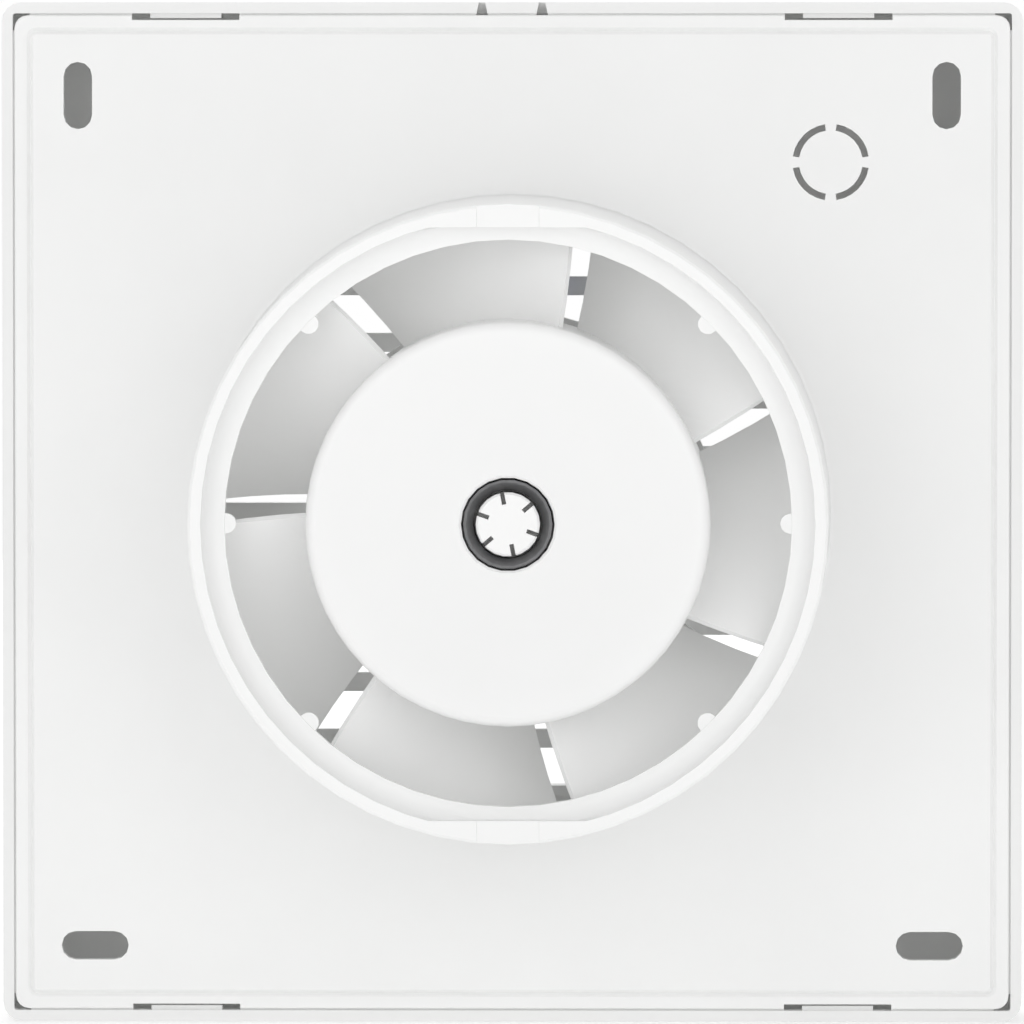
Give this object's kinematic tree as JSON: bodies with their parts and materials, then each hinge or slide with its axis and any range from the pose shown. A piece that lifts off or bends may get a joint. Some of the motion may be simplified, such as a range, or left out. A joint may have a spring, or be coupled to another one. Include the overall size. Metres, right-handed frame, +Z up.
{
  "type": "extractor fan",
  "caption": "Square wall-mounted bathroom extractor fan with a louvred clip-on cover, an axial impeller in a round duct spigot, and its motor and terminals inside.",
  "frame": {"origin": "on the spigot's axis, at the rear face of the back plate that lies against the wall", "axes": "+Y along the spigot into the wall, -Y into the room, +Z up as mounted"},
  "size_m": [0.158, 0.067, 0.158],
  "materials": {
    "white_plastic": "satin white moulding",
    "impeller_plastic": "satin white moulding",
    "blackened_steel": "dark satin",
    "bright_steel": "ground",
    "laminated_steel": "stacked sheets",
    "cast_aluminium": "die cast",
    "sintered_bronze": "porous",
    "nylon": "natural",
    "enamelled_copper": "wound wire",
    "zinc_plated_steel": "plated",
    "brass": "turned",
    "brown_insulation": "smooth",
    "blue_insulation": "smooth"
  },
  "bodies": {
    "housing": {"housing": "white_plastic", "motor_carrier": "white_plastic", "carrier_screw_1": "zinc_plated_steel", "carrier_screw_2": "zinc_plated_steel", "carrier_screw_3": "zinc_plated_steel", "stator_core": "laminated_steel", "coil_1": "enamelled_copper", "coil_2": "enamelled_copper", "coil_3": "enamelled_copper", "coil_4": "enamelled_copper", "front_end_bracket": "cast_aluminium", "rear_end_bracket": "cast_aluminium", "front_bearing": "sintered_bronze", "rear_bearing": "sintered_bronze", "motor_bolt_1": "zinc_plated_steel", "motor_bolt_2": "zinc_plated_steel", "motor_nut_1": "zinc_plated_steel", "motor_nut_2": "zinc_plated_steel", "terminal_block": "nylon", "terminal_screw_1": "brass", "terminal_screw_2": "brass", "terminal_fixing_screw": "zinc_plated_steel", "cable_clamp": "white_plastic", "clamp_screw_1": "zinc_plated_steel", "clamp_screw_2": "zinc_plated_steel", "lead_live": "brown_insulation", "lead_neutral": "blue_insulation"},
    "impeller": {"impeller": "impeller_plastic", "hub_clamp_ring": "blackened_steel", "shaft": "bright_steel", "rotor_core": "laminated_steel", "front_thrust_washer": "nylon", "rear_thrust_washer": "nylon"},
    "cover": {"front_cover": "white_plastic"}
  },
  "joints": [
    {"name": "impeller_spin", "type": "hinge", "parent": "housing", "child": "impeller", "pos_m": [0, 0, 0], "axis": [0, 1, 0], "continuous": true},
    {"name": "cover_pull", "type": "slide", "parent": "housing", "child": "cover", "axis": [0, -1, 0], "range_m": [0, 0.04]}
  ]
}
